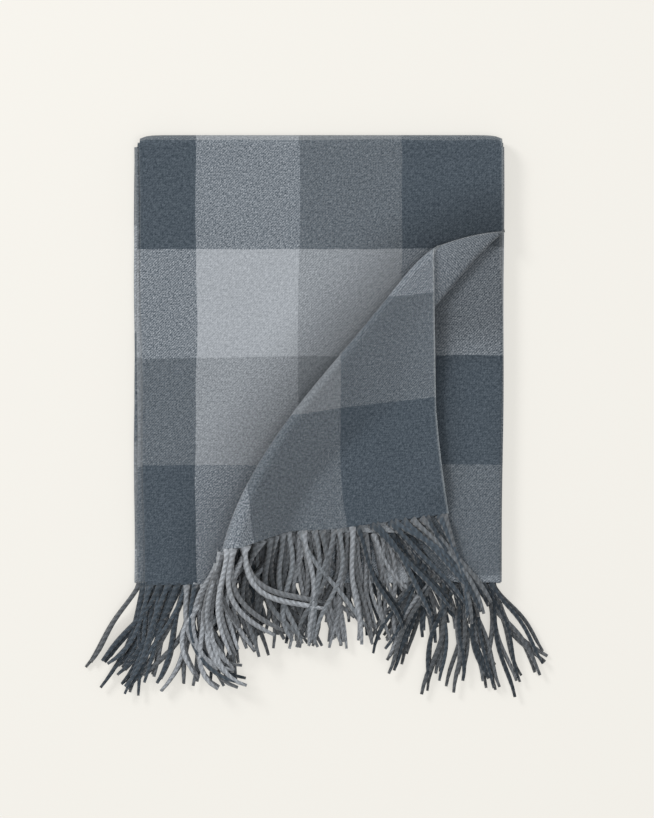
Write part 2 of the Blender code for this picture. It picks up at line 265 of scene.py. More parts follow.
def pleat_row(share, first, last):
    """One row of cloth across the pleat: (place, flat place, surface normal) at each step."""
    base = BASE_HEM.lerp(BASE_SIDE, share)
    land = LAND_HEM.lerp(LAND_SIDE, share)
    drift = (displaced(land) - base).dot(RIDGE)
    segments = pleat_segments(share)
    total = sum(length for start, end, length in segments)
    crest_run = sum(length for start, end, length in segments[:4])
    curl = 0.0075 * ease((share - 0.70) / 0.30)
    row = []
    here = Vector((0.0, 0.0))
    run = 0.0

    def note(slope):
        """Adds the place reached so far to the row."""
        plan = base + ACROSS * here.x + RIDGE * (drift * run / total)
        plan.y += curl * math.sin(math.pi * min(run / crest_run, 1.0))
        normal = Vector((-math.sin(slope) * ACROSS.x, -math.sin(slope) * ACROSS.y, math.cos(slope)))
        row.append((Vector((plan.x, plan.y, TOP_Z + here.y)), base.lerp(land, run / total), normal))

    for index, (start, end, length) in enumerate(segments):
        steps = PLEAT_STEPS[index]
        for step in range(steps):
            slope = start + (end - start) * step / steps
            if first <= index < last:
                note(slope)
            after = start + (end - start) * (step + 1) / steps
            here = here + turned(slope, after, length / steps)
            run += length / steps
        if index == last - 1:
            note(end)
    return row


def left_edge(fold, y):
    """Left edge of each fold of the stack: the upper ones lie a little inside the lower ones."""
    down = (AXIS_Y - y) / (AXIS_Y - HEM_Y)
    inset = (0.0048 * down, -0.0020 + 0.0004 * down, -0.0050 + 0.0010 * down, -0.0046)[fold]
    return LEFT_X + inset + 0.0004 * math.sin(y * 40 + fold * 2.0)


def right_edge(fold, y):
    """Right edge of each ply of the stack."""
    inset = (0.0, 0.0012, 0.0003, 0.0008)[fold]
    down = (AXIS_Y - y) / (AXIS_Y - HEM_Y)
    return RIGHT_X + inset - 0.0024 * down * down + 0.0003 * math.sin(y * 34 + fold)


def hem_lift(x):
    """How far the under layers' hem is drawn up below the raised corner."""
    return HEM_RAISE * ease((x - RAISED_FROM) / 0.045) * ease((RAISED_TO - x) / 0.038)


def flat_place(x, y, offset):
    """A point on the top leaf, let down by offset for the lining under it."""
    z = TOP_Z - offset
    return Vector((x, y, z + ripple(x, y, z)))


def cloth_uv(x, y, lining):
    """Place on the cut cloth of a point of the unfolded top ply."""
    along = y - HEM_Y
    return (RIGHT_X - x, CLOTH_LENGTH - along if lining else along)


def add_grid(bm, rows):
    """A grid of cloth through rows of (place, cut place)."""
    across, along = len(rows[0]), len(rows)
    uv_layer = bm.loops.layers.uv.get("UVMap") or bm.loops.layers.uv.new("UVMap")
    made = bmesh.ops.create_grid(bm, x_segments=across - 1, y_segments=along - 1, size=1.0)
    cut = {}
    for vert in made["verts"]:
        column = round((vert.co.x + 1) / 2 * (across - 1))
        row = round((vert.co.y + 1) / 2 * (along - 1))
        place, uv = rows[row][column]
        vert.co = place
        cut[vert] = uv
    faces = {face for vert in made["verts"] for face in vert.link_faces}
    for face in faces:
        for loop in face.loops:
            loop[uv_layer].uv = cut[loop.vert]
    return faces


def cloth_piece(name, grids, material):
    """A piece of cloth from its grids, merged where they meet, given its thickness and crisp cut edges."""
    bm = bmesh.new()
    for rows in grids:
        add_grid(bm, rows)
    bmesh.ops.remove_doubles(bm, verts=bm.verts, dist=0.00002)
    bmesh.ops.recalc_face_normals(bm, faces=bm.faces)
    mesh = bpy.data.meshes.new(name)
    bm.to_mesh(mesh)
    bm.free()
    shell = bpy.data.objects.new(name + "_shell", mesh)
    bpy.context.scene.collection.objects.link(shell)
    solidify = shell.modifiers.new("thickness", "SOLIDIFY")
    solidify.thickness = sizes().cloth_thickness
    solidify.offset = 0.0
    bpy.context.view_layer.update()
    solid = bpy.data.meshes.new_from_object(shell.evaluated_get(bpy.context.evaluated_depsgraph_get()))
    bpy.data.objects.remove(shell, do_unlink=True)
    bm = bmesh.new()
    bm.from_mesh(solid)
    for edge in bm.edges:
        edge.smooth = len(edge.link_faces) != 2 or edge.calc_face_angle() < 1.0
    for face in bm.faces:
        face.smooth = True
    bm.to_mesh(solid)
    bm.free()
    solid.name = name
    piece = bpy.data.objects.new(name, solid)
    solid.materials.clear()
    solid.materials.append(material)
    bpy.context.scene.collection.objects.link(piece)
    return piece


def paint_shade(piece, shade_at):
    """Writes a painted shade on each point of a piece, which darkens its colour beside a fold or under an
    overhang, where shade falls.
    """
    shade_layer = piece.data.attributes.new("tucked", "FLOAT", "POINT")
    for vert, entry in zip(piece.data.vertices, shade_layer.data):
        entry.value = shade_at(vert.co)


def crest_side_shade(place):
    """Painted shade on the top ply along the left of the pleat, where the pleat shades it, fading as the
    cloth climbs to the crest.
    """
    away = place.xy - BASE_HEM
    fraction = away.dot(RIDGE) / RIDGE_LENGTH
    clear = crest_across(fraction) - away.dot(ACROSS)
    climb = 1 - ease((place.z - TOP_Z - 0.001) / 0.013)
    return (0.24 + 0.14 * ease(fraction / 0.6)) * ease(1 - max(clear, 0.0) / CREST_SHADE_WIDTH) * climb


def corner_side_shade(place):
    """Painted shade on the ply below: right of the corner's edge, under the pleat's lip, and in the crevice
    beside the top ply's left fold.
    """
    edge = 0.28 * ease((0.128 - place.x) / 0.035)
    lip_shade = 0.38 * ease((place.y - 0.035) / 0.055)
    open_part = ease((place.x - 0.060) / 0.030) * ease((place.z - TOP_Z + 0.006) / 0.003)
    if place.x < 0:
        apart = abs(left_edge(0, place.y) + 0.0006 - place.x)
        return 0.55 * ease(1 - apart / FOLD_SHADE_WIDTH) * ease((place.z - TOP_Z + 0.009) / 0.003)
    return (edge + lip_shade - edge * lip_shade) * open_part


# --- the plies below the top one ---

def fold_arc(x_centre, z_centre, radius, side, steps, fall):
    """Centre path of a side fold as (x, z, normal x, normal z, run), from one ply down to the next."""
    path = []
    for step in range(1, steps):
        angle = math.pi * step / steps
        nx = -math.sin(angle) if side == "left" else math.sin(angle)
        nz = math.cos(angle)
        path.append((x_centre + nx * radius, z_centre + nz * radius * fall, nx, nz, radius * angle))
    return path


def ply_path(y, top_z, fall, first, folds):
    """Centre path through the zig-zag plies at one y: (x, z, normal x, normal z, cut place across)."""
    path = []
    z = top_z
    run = 0.0
    for ply in range(4):
        left = left_edge(folds + ply // 2, y) + TURN
        right = right_edge(ply // 2 + folds, y) - TURN
        heading_left = ply % 2 == 0
        start = (right if ply > 0 else right + TURN) if heading_left else left
        end = (left if heading_left else right) if ply < 3 else right + TURN
        side = 1.0 if heading_left else -1.0
        if ply >= first:
            for step in range(COLUMNS + 1):
                share = step / COLUMNS
                x = start + (end - start) * share
                path.append((x, z, 0.0, side * fall, run + abs(end - start) * share))
        run += abs(end - start)
        if ply < 3:
            turn = "left" if heading_left else "right"
            for x, arc_z, nx, nz, arc_run in fold_arc(end, z - PITCH * fall, PITCH, turn, 8, fall):
                if heading_left:
                    normal = (nx, nz * fall)
                else:
                    normal = (-nx, -nz * fall)
                if ply + 1 >= first:
                    path.append((x, arc_z, normal[0], normal[1], run + arc_run))
            run += math.pi * PITCH
            z -= 2 * PITCH * fall
    return path


def ply_row(y, offset, top_z, fall, first, along, lining, folds=0, lifted=False):
    """One row of the lower plies at a distance from their shared centre path."""
    row = []
    for x, z, nx, nz, run in ply_path(y, top_z, fall, first, folds):
        place_y = y
        if lifted:
            place_y = y + hem_lift(x) * (1 - ease((y - HEM_Y) / 0.16))
        place = Vector((x + nx * offset, place_y, z + nz * offset))
        place.z += ripple(place.x, place.y, place.z)
        cut = CLOTH_LENGTH - (along + place_y - y) if lining else along + place_y - y
        row.append((place, (run, cut)))
    return row


class BLANKET_OT_lower_cloth(bpy.types.Operator):
    """Lay the lower half of the folded cloth, turned under at the hem"""
    bl_idname = "blanket.lower_cloth"
    bl_label = "Lower half"

    def execute(self, context):
        rows = []
        bottom_z = CLOTH / 2 + PITCH / 2
        around = math.pi * STACK / 2
        count = 44
        for step in range(count + 1):
            y = AXIS_Y + (HEM_Y - AXIS_Y) * step / count
            along = AXIS_Y - HEM_Y + around + AXIS_Y - y
            rows.append(ply_row(y, PITCH / 2, bottom_z, -1.0, 0, along, False, folds=2))
        for step in range(1, 6):
            angle = math.pi * step / 6
            y = HEM_Y - PITCH / 2 * math.sin(angle)
            along = 2 * (AXIS_Y - HEM_Y) + around + PITCH / 2 * angle
            rows.append(ply_row(y, PITCH / 2 * math.cos(angle), bottom_z, -1.0, 0, along, False, folds=2))
        for step in range(count + 1):
            y = HEM_Y + (AXIS_Y - HEM_Y) * step / count
            along = AXIS_Y - HEM_Y + around + AXIS_Y - y
            rows.append(ply_row(y, -PITCH / 2, bottom_z, -1.0, 0, along, True, folds=2))
        piece = cloth_piece("lower_cloth", [rows], cloth_material())
        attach(piece, "lower_half")
        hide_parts(*["lower_leaf_%d" % leaf for leaf in range(1, 9)])
        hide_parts(*["hem_fold_%d" % fold for fold in range(1, 5)])
        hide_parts("left_fold_1", "left_fold_5", "right_fold_3")
        return {"FINISHED"}


class BLANKET_OT_upper_cloth(bpy.types.Operator):
    """Lay the three zig-zag plies under the top ply"""
    bl_idname = "blanket.upper_cloth"
    bl_label = "Upper plies"

    def execute(self, context):
        for name, offset, lining in (("upper_cloth", PITCH / 2, False), ("upper_lining", -PITCH / 2, True)):
            rows = []
            for step in range(49):
                y = HEM_Y + (AXIS_Y - HEM_Y) * step / 48
                rows.append(ply_row(y, offset, TOP_Z - PITCH / 2, 1.0, 1, y - HEM_Y, lining, lifted=True))
            piece = cloth_piece(name, [rows], cloth_material())
            paint_shade(piece, corner_side_shade)
            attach(piece, "upper_half")
            if lining:
                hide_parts(*["upper_leaf_%d" % leaf for leaf in (1, 4, 5)])
            else:
                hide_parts(*["upper_leaf_%d" % leaf for leaf in (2, 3, 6)])
                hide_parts("left_fold_9", "left_fold_13", "right_fold_11")
        return {"FINISHED"}


class BLANKET_OT_top_fold(bpy.types.Operator):
    """Carry every layer round the top fold"""
    bl_idname = "blanket.top_fold"
    bl_label = "Top fold"

    def execute(self, context):
        for ring in range(1, 9):
            radius = (ring - 0.5) * PITCH
            ply = (8 - ring) // 2
            lining = ring in (7, 6, 3, 2)
            rows = []
            for step in range(25):
                angle = math.pi * step / 24
                row = []
                for column in range(61):
                    share = column / 60
                    left = left_edge(ply // 2, AXIS_Y) + TURN * 0.4
                    right = right_edge(ply // 2, AXIS_Y) - TURN * 0.4
                    x = left + (right - left) * share
                    pinch = 1 - 0.30 * (2 * share - 1) ** 30
                    place = Vector((x, AXIS_Y + math.sin(angle) * radius * pinch,
                                    STACK / 2 + math.cos(angle) * radius))
                    run = (right - x if ply % 2 == 0 else x - left) + ply * PLY_RUN
                    along = AXIS_Y - HEM_Y + angle * radius
                    row.append((place, (run, CLOTH_LENGTH - along if lining else along)))
                rows.append(row)
            name = "top_fold_%d" % ring
            piece = cloth_piece("cloth_" + name, [rows], cloth_material())
            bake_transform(piece)
            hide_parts(name)
        return {"FINISHED"}


# --- the top ply, its pleat and the displaced corner ---

ROWS = 150


def let_down(row, offset, lining):
    """Moves a row of the pleat down its normals for the lining, and finds its place on the cut cloth."""
    return [(place - normal * offset, cloth_uv(cut.x, cut.y, lining)) for place, cut, normal in row]


def corner_sag(x, y):
    """Soft waves of the displaced corner, most near its free edges."""
    free = ease((-y - 0.02) / 0.10) * 0.7 + 0.3
    wave = noise.noise(Vector((x * 18, y * 11, 1.3))) + 0.6 * noise.noise(Vector((x * 40, y * 30, 5.0)))
    return 0.0011 * free * (wave + 0.8)


def corner_row(share, offset, lining):
    """A row of the corner from the hinge line over the landing to the free side edge."""
    row = pleat_row(share, *PAST_HINGE)
    start = LAND_HEM.lerp(LAND_SIDE, share)
    edge = RIGHT_X - (0.0008 if lining else 0.0)
    for step in range(1, COLUMNS + 1):
        cut = Vector((start.x + (edge - start.x) * step / COLUMNS, start.y))
        plan = displaced(cut)
        row.append((Vector((plan.x, plan.y, TOP_Z)), cut, Vector((0.0, 0.0, 1.0))))
    settled = []
    for place, cut, normal in row:
        soft = ease((place.xy - BASE_HEM.lerp(BASE_SIDE, share)).dot(ACROSS) / 0.05)
        flare = 0.0065 * ease((cut.x - RIGHT_X + 0.040) / 0.040) * ease(share / 0.30)
        lifted = place + Vector((0.0, 0.0, (corner_sag(place.x, place.y) + flare) * soft))
        settled.append((lifted, cut, normal))
    return let_down(settled, offset, lining)


class BLANKET_OT_top_ply(bpy.types.Operator):
    """Lay the top ply and its lining up to the crest of the pleat"""
    bl_idname = "blanket.top_ply"
    bl_label = "Top ply and pleat"

    def execute(self, context):
        for name, offset, lining in (("lining", PITCH, True), ("face", 0.0, False)):
            leaf, pleat = [], []
            for step in range(ROWS + 1):
                share = step / ROWS
                base = BASE_HEM.lerp(BASE_SIDE, share)
                leaf.append(self.leaf_row(base.y, base.x, offset, lining))
                row = let_down(pleat_row(share, *TO_HINGE), offset, lining)
                place, cut = row[0]
                row[0] = (flat_place(base.x, base.y, offset), cut)
                pleat.append(row)
            rest = 22
            for step in range(1, rest + 1):
                y = BASE_SIDE.y + (AXIS_Y - BASE_SIDE.y) * step / rest
                leaf.append(self.leaf_row(y, BASE_SIDE.x, offset, lining))
            piece = cloth_piece(name + "_cloth", [leaf, pleat], cloth_material())
            paint_shade(piece, crest_side_shade)
            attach(piece, "upper_half")
            if lining:
                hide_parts("face_lining", "pleat_lining")
            else:
                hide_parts("face_leaf", "pleat_face")
        return {"FINISHED"}

    def leaf_row(self, y, end, offset, lining):
        """One row of the flat leaf from its left fold to the base of the pleat."""
        left = left_edge(0, y) + TURN
        row = []
        for step in range(71):
            x = left + (end - left) * step / 70
            row.append((flat_place(x, y, offset), cloth_uv(x, y, lining)))
        return row


class BLANKET_OT_side_fold(bpy.types.Operator):
    """Turn the top ply under at its left side"""
    bl_idname = "blanket.side_fold"
    bl_label = "Left fold of the top ply"

    def execute(self, context):
        folds = (("side_fold_face", PITCH * 1.5, False), ("side_fold_lining", PITCH / 2, True))
        for name, radius, lining in folds:
            rows = []
            for step in range(61):
                y = HEM_Y + (AXIS_Y - HEM_Y) * step / 60
                centre = left_edge(0, y) + TURN
                row = []
                for turn in range(13):
                    angle = math.pi * turn / 12
                    x = centre - math.sin(angle) * radius
                    z = TOP_Z - PITCH * 1.5 + math.cos(angle) * radius
                    z += ripple(x, y, z)
                    run = RIGHT_X - centre + angle * PITCH
                    along = y - HEM_Y
                    row.append((Vector((x, y, z)), (run, CLOTH_LENGTH - along if lining else along)))
                rows.append(row)
            piece = cloth_piece(name, [rows], cloth_material())
            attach(piece, "upper_half")
        return {"FINISHED"}


def hinge_line():
    """Hem end of the line that the corner turns about, and the direction away from it."""
    near = pleat_row(0.0, *PAST_HINGE)[0][0]
    far = pleat_row(1.0, *PAST_HINGE)[0][0]
    along = (far - near).xy.normalized()
    return near, Vector((along.y, -along.x, 0.0))


class BLANKET_OT_corner(bpy.types.Operator):
    """Lay the displaced corner over the pleat"""
    bl_idname = "blanket.corner"
    bl_label = "Displaced corner"

    def execute(self, context):
        near, outward = hinge_line()
        for name, offset, lining in (("lining", PITCH, True), ("face", 0.0, False)):
            rows = [corner_row(step / ROWS, offset, lining) for step in range(ROWS + 1)]
            piece = cloth_piece("corner_" + name + "_cloth", [rows], cloth_material())
            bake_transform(piece)
            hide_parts("corner_" + name)
        return {"FINISHED"}


# --- fringe ---

def strand_colour(across, rng, paler, deep_strand_shade):
    """Yarn colour of a strand, from the stripe it grows out of: some are paler, and deep ones are darkened
    by painted shade, where the strands above would shade them.
    """
    stripe = int((across + WARP_SHIFT) / WARP_CHECK) % 3
    if rng.random() < paler:
        stripe = min(stripe + rng.choice((1, 1, 2)), 2)
    base = (colours().dark, colours().mid, colours().light)[stripe]
    # Random tone, times the painted shade of deep strands.
    shade = rng.uniform(0.72, 1.22) * deep_strand_shade
    return [channel * shade for channel in base]


def pile_top(x, y, level):
    """Height of whatever lies under a strand: the stack as far as its hem, then the thinning fringe."""
    past = ease((HEM_Y + hem_lift(x) - y) / 0.060)
    return (STACK - 2 * PITCH + 0.0022) * (1 - past) + level * past


def strand_plan(root, habit, length):
    """Points of one strand as it turns this way and that, all at the height of its root."""
    heading, curl, sway, phase = habit
    step = length / (RINGS - 1)
    points = [root.copy()]
    for index in range(1, RINGS):
        share = index / (RINGS - 1)
        angle = heading + curl * share * share + sway * (math.sin(share * 6.0 + phase) - math.sin(phase))
        points.append(points[-1] + Vector((math.sin(angle), -math.cos(angle), 0.0)) * step)
    return points


def strand_path(root, habit, length, level, droop):
    """Points of one raised strand, which leaves the hem and sinks onto whatever lies below it."""
    points = strand_plan(root, habit, length)
    drop = droop * length / (RINGS - 1)
    for before, here in zip(points[:-1], points[1:]):
        here.z = max(pile_top(here.x, here.y, level) + level * 0.25, before.z - drop)
    return points


def strand_rings(points, radius):
    """Rings of (place, (turn, run)) round a strand: wide and flat at the hem, thinner at the tip."""
    rings = []
    run = 0.0
    for index, point in enumerate(points):
        before = points[max(index - 1, 0)]
        after = points[min(index + 1, RINGS - 1)]
        run += (point - before).length
        tangent = (after - before).normalized()
        side = tangent.cross(Vector((0, 0, 1))).normalized()
        up = side.cross(tangent)
        flare = max(1 - run / 0.008, 0.0)
        taper = 1 - 0.35 * ease((index / (RINGS - 1) - 0.8) / 0.2)
        wide = radius * (taper + 0.60 * flare)
        deep = radius * (taper - 0.45 * flare)
        ring = []
        for corner in range(SIDES + 1):
            angle = 2 * math.pi * (corner % SIDES) / SIDES
            place = point + side * (math.cos(angle) * wide) + up * (math.sin(angle) * deep)
            ring.append((place, (corner / SIDES, run)))
        rings.append(ring)
    return rings


def fringe_piece(name, strands):
    """One piece of fringe: each strand is a grid rolled up, closed along its seam and capped."""
    bm = bmesh.new()
    tint = bm.loops.layers.float_color.new("yarn")
    for points, radius, colour in strands:
        for face in add_grid(bm, strand_rings(points, radius)):
            for loop in face.loops:
                loop[tint] = (*colour, 1.0)
    bmesh.ops.remove_doubles(bm, verts=bm.verts, dist=0.000001)
    bmesh.ops.holes_fill(bm, edges=bm.edges, sides=SIDES)
    bmesh.ops.recalc_face_normals(bm, faces=bm.faces)
    for face in bm.faces:
        face.smooth = True
    mesh = bpy.data.meshes.new(name)
    bm.to_mesh(mesh)
    bm.free()
    mesh.materials.append(fringe_material())
    piece = bpy.data.objects.new(name, mesh)
    bpy.context.scene.collection.objects.link(piece)
    return piece


def hem_habit(x, rng):
    """How a lock of the flat hem falls: fanned out at both sides of the blanket."""
    left = ease((-0.086 - x) / 0.066)
    middle = ease((x - 0.020) / 0.020)
    back = ease((x - 0.072) / 0.014)
    right = ease((x - 0.090) / 0.060)
    heading = -0.33 * left + 0.34 * middle - 0.80 * back + 0.90 * right
    curl = -0.30 * left + 0.12 * right
    calm = 1 - 0.30 * left
    return (heading + rng.gauss(0, 0.11) * calm, curl + rng.gauss(0, 0.28) * calm,
            rng.uniform(0.08, 0.26) * calm, rng.uniform(0, 6.28))


def hem_locks(rng):
    """Roots of the locks along the hem, in a few families that the layers share between them."""
    spacing = sizes().strand_spacing
    families = []
    for family in range(FAMILIES):
        locks = []
        x = LEFT_X + 0.0018 + spacing * family / FAMILIES
        while x < RIGHT_X - 0.004:
            locks.append((x, hem_habit(x, rng), rng.uniform(0.90, 1.12)))
            x += spacing * rng.uniform(0.92, 1.12)
        families.append(locks)
    return families


def hem_strand(x, layer, habit, stretch, rng):
    """Points of one layer's strand of a lock, which sinks from its layer's height to the pile."""
    z = CLOTH / 2 + (layer - 1) * PITCH
    lift = hem_lift(x) if layer <= UNDER_LAYERS else 0.0
    root = Vector((x, HEM_Y + lift - 0.0004, z))
    heading, curl, sway, phase = habit
    habit = (heading + rng.gauss(0, 0.025), curl + rng.gauss(0, 0.05), sway, phase + rng.gauss(0, 0.15))
    length = sizes().fringe_length * stretch * (1.0 if layer > 12 else rng.uniform(0.86, 0.98))
    level = 0.0024 + (layer - LOWER_LAYERS - 1) * 0.0011
    points = strand_plan(root, habit, length)
    for index, point in enumerate(points):
        point.z = root.z + (level - root.z) * ease(index / (RINGS - 1) * 1.3)
    return points


def ply_across(layer, x):
    """Place across the cut cloth of a point of one layer."""
    ply = (LAYERS - layer) // 2
    if ply % 2 == 0:
        return RIGHT_X - x + ply * PLY_RUN
    return x - LEFT_X + ply * PLY_RUN


class BLANKET_OT_hem_fringe(bpy.types.Operator):
    """Hang the fringe on the flat hem of all eight upper layers"""
    bl_idname = "blanket.hem_fringe"
    bl_label = "Hem fringe"

    def execute(self, context):
        rng = random.Random(11)
        families = hem_locks(rng)
        radius = sizes().strand_diameter / 2
        for layer in range(LOWER_LAYERS + 1, LAYERS + 1):
            on_top = layer > UNDER_LAYERS
            side, rest = [], []
            for x, habit, stretch in families[layer % FAMILIES]:
                if on_top and x < left_edge(0, HEM_Y) + 0.003:
                    continue
                if on_top and x > BASE_HEM.x + 0.018:
                    break
                points = hem_strand(x + rng.uniform(-0.0008, 0.0008), layer, habit, stretch, rng)
                # Painted shade: the under layers' strands are darkened, more the deeper they lie, where the
                # layers above shade them.
                deep_strand_shade = 1.0 if on_top else 0.42 + 0.07 * (layer - LOWER_LAYERS - 1)
                paler = 0.10 * ease((x + 0.150) / 0.040)
                colour = strand_colour(ply_across(layer, x), rng, paler, deep_strand_shade)
                strand = (points, radius * rng.uniform(0.85, 1.1), colour)
                (side if x < SIDE_FRINGE_END else rest).append(strand)
            row = layer - LOWER_LAYERS
            piece = fringe_piece("side_fringe_%d" % row, side)
            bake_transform(piece)
            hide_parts("left_fringe_%d" % row)
            if rest:
                piece = fringe_piece("under_fringe_%d" % row, rest)
                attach(piece, "upper_half")
                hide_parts("hem_fringe_%d" % row)
        return {"FINISHED"}


def raised_hem(offset, lining):
    """The hem of the top ply from the base of the pleat to the free corner, with the direction it faces."""
    first = let_down(pleat_row(0.0, *TO_HINGE), offset, lining)
    second = let_down(pleat_row(0.01, *TO_HINGE), offset, lining)
    first += corner_row(0.0, offset, lining)
    second += corner_row(0.01, offset, lining)
    hem = []
    for (place, uv), (behind, _) in zip(first, second):
        out = place - behind
        out = (out.normalized() + Vector((0, -0.8, 0))).normalized()
        hem.append((place, uv[0], out))
    return hem


def corner_habit(x, rng):
    """How a lock of the raised hem falls: curled over the open pleat, swept right along the free corner."""
    arch = ease((-0.035 - x) / 0.055)
    sweep = ease((x - 0.008) / 0.040)
    steep = ease((x - 0.080) / 0.022)
    parted = (x + 0.044) / 0.016
    part = 0.30 * parted * math.exp(-parted * parted)
    calm = 1 - 0.6 * sweep
    return (-0.28 * arch + 0.72 * sweep - 0.52 * steep + 0.10 + part + rng.gauss(0, 0.17) * calm,
            1.00 * arch - 0.30 * sweep + rng.gauss(0, 0.34) * calm, rng.uniform(0.08, 0.38) * calm,
            rng.uniform(0, 6.28))


class BLANKET_OT_corner_fringe(bpy.types.Operator):
    """Hang the two rows of fringe along the raised hem of the corner"""
    bl_idname = "blanket.corner_fringe"
    bl_label = "Corner fringe"

    def execute(self, context):
        near, outward = hinge_line()
        radius = sizes().strand_diameter / 2
        for row, offset in ((1, PITCH), (2, 0.0)):
            rng = random.Random(7)
            hem = raised_hem(offset, row == 1)
            fixed, arch, free = [], [], []
            travelled = 0.0
            due = 0.004
            count = 0
            for (before, _, _), (place, across, out) in zip(hem[:-1], hem[1:]):
                travelled += (place - before).length
                if travelled < due:
                    continue
                due += sizes().strand_spacing * (0.66 + 0.66 * (count % 2)) * rng.uniform(0.92, 1.08)
                count += 1
                habit = corner_habit(place.x, rng)
                length = sizes().fringe_length * rng.uniform(0.98, 1.14)
                paler = 0.08 + 0.32 * ease((place.x - 0.010) / 0.020)
                # Painted shade: the lining row's strands lie under the face row's and are darkened.
                colour = strand_colour(across, rng, paler, 0.52 if row == 1 else 1.0)
                thick = radius * rng.uniform(0.95, 1.20)
                if row == 1:
                    habit = (habit[0] + 0.06 * math.sin(place.x * 900), habit[1], habit[2], habit[3] + 0.3)
                points = strand_path(place + out * 0.0004, habit, length, 0.006 + 0.005 * row, 0.45)
                strand = (points, thick, colour)
                beyond = (place - near).dot(outward)
                if beyond < 0:
                    fixed.append(strand)
                elif place.x < -0.026:
                    arch.append(strand)
                else:
                    free.append(strand)
            if fixed:
                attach(fringe_piece("pleat_fringe_%d" % row, fixed), "upper_half")
            piece = fringe_piece("arch_fringe_strands_%d" % row, arch)
            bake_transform(piece)
            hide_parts("arch_fringe_%d" % row)
            piece = fringe_piece("corner_fringe_strands_%d" % row, free)
            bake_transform(piece)
            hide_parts("corner_fringe_%d" % row)
        return {"FINISHED"}


# --- materials ---

class Nodes:
    """Short calls for building one material's node tree."""

    def __init__(self, material):
        self.tree = material.node_tree
        self.shader = self.tree.nodes["Principled BSDF"]

    def put(self, value, socket):
        """Links a socket to another node's output, or sets it to a plain value."""
        if hasattr(value, "is_output"):
            self.tree.links.new(value, socket)
        else:
            socket.default_value = value

    def surface(self, values):
        """Sets plain values on the shader's own sockets."""
        for name, value in values.items():
            self.shader.inputs[name].default_value = value

    def math(self, operation, *values):
        """One step of arithmetic."""
        node = self.tree.nodes.new("ShaderNodeMath")
        node.operation = operation
        for value, socket in zip(values, node.inputs):
            self.put(value, socket)
        return node.outputs[0]

    def blend(self, factor, first, second, mode="MIX"):
        """Two colours mixed."""
        node = self.tree.nodes.new("ShaderNodeMix")
        node.data_type = "RGBA"
        node.blend_type = mode
        self.put(factor, node.inputs["Factor"])
        self.put(first, node.inputs[6])
        self.put(second, node.inputs[7])
        return node.outputs[2]

    def uv(self):
        """Place on the cut cloth or strand, whole and as its two parts."""
        node = self.tree.nodes.new("ShaderNodeUVMap")
        node.uv_map = "UVMap"
        split = self.tree.nodes.new("ShaderNodeSeparateXYZ")
        self.tree.links.new(node.outputs["UV"], split.inputs[0])
        return node.outputs["UV"], split.outputs["X"], split.outputs["Y"]

    def noise(self, vector, scale, detail=2.0, rough=0.5):
        """Soft noise from 0 to 1."""
        node = self.tree.nodes.new("ShaderNodeTexNoise")
        self.tree.links.new(vector, node.inputs["Vector"])
        node.inputs["Scale"].default_value = scale
        node.inputs["Detail"].default_value = detail
        node.inputs["Roughness"].default_value = rough
        return node.outputs["Fac"]

    def stretched(self, vector, scale):
        """A place stretched along the threads."""
        node = self.tree.nodes.new("ShaderNodeMapping")
        self.tree.links.new(vector, node.inputs["Vector"])
        node.inputs["Scale"].default_value = scale
        return node.outputs["Vector"]

    def range(self, value, low, high, to_low, to_high):
        """A value carried from one range to another and held there."""
        node = self.tree.nodes.new("ShaderNodeMapRange")
        self.put(value, node.inputs["Value"])
        for socket, number in zip(node.inputs[1:5], (low, high, to_low, to_high)):
            socket.default_value = number
        return node.outputs["Result"]

    def grey(self, value):
        """The same value in all three colour channels."""
        node = self.tree.nodes.new("ShaderNodeCombineXYZ")
        for socket in node.inputs:
            self.put(value, socket)
        return node.outputs[0]

    def ramp(self, value, stops):
        """Flat bands of colour, each from its stop to the next."""
        node = self.tree.nodes.new("ShaderNodeValToRGB")
        node.color_ramp.interpolation = "CONSTANT"
        elements = node.color_ramp.elements
        while len(elements) > 1:
            elements.remove(elements[-1])
        elements[0].position, elements[0].color = stops[0]
        for position, colour in stops[1:]:
            elements.new(position).color = colour
        self.put(value, node.inputs["Fac"])
        return node.outputs["Color"]

    def bump(self, height, strength, distance):
        """Fine relief on the shader."""
        node = self.tree.nodes.new("ShaderNodeBump")
        node.inputs["Strength"].default_value = strength
        node.inputs["Distance"].default_value = distance
        self.put(height, node.inputs["Height"])
        self.tree.links.new(node.outputs["Normal"], self.shader.inputs["Normal"])


def stripes(nodes, place, check, shift, low, high):
    """Three yarn colours in turn along one direction of the cloth."""
    palette = [(*[channel ** (1 / GAMMA) for channel in yarn], 1.0)
               for yarn in (colours().dark, colours().mid, colours().light)]
    held = nodes.math("MINIMUM", nodes.math("MAXIMUM", place, low), high)
    moved = nodes.math("ADD", held, shift)
    turn = nodes.math("FRACT", nodes.math("DIVIDE", moved, check * 3))
    return nodes.ramp(turn, [(0.0, palette[0]), (1 / 3, palette[1]), (2 / 3, palette[2])])


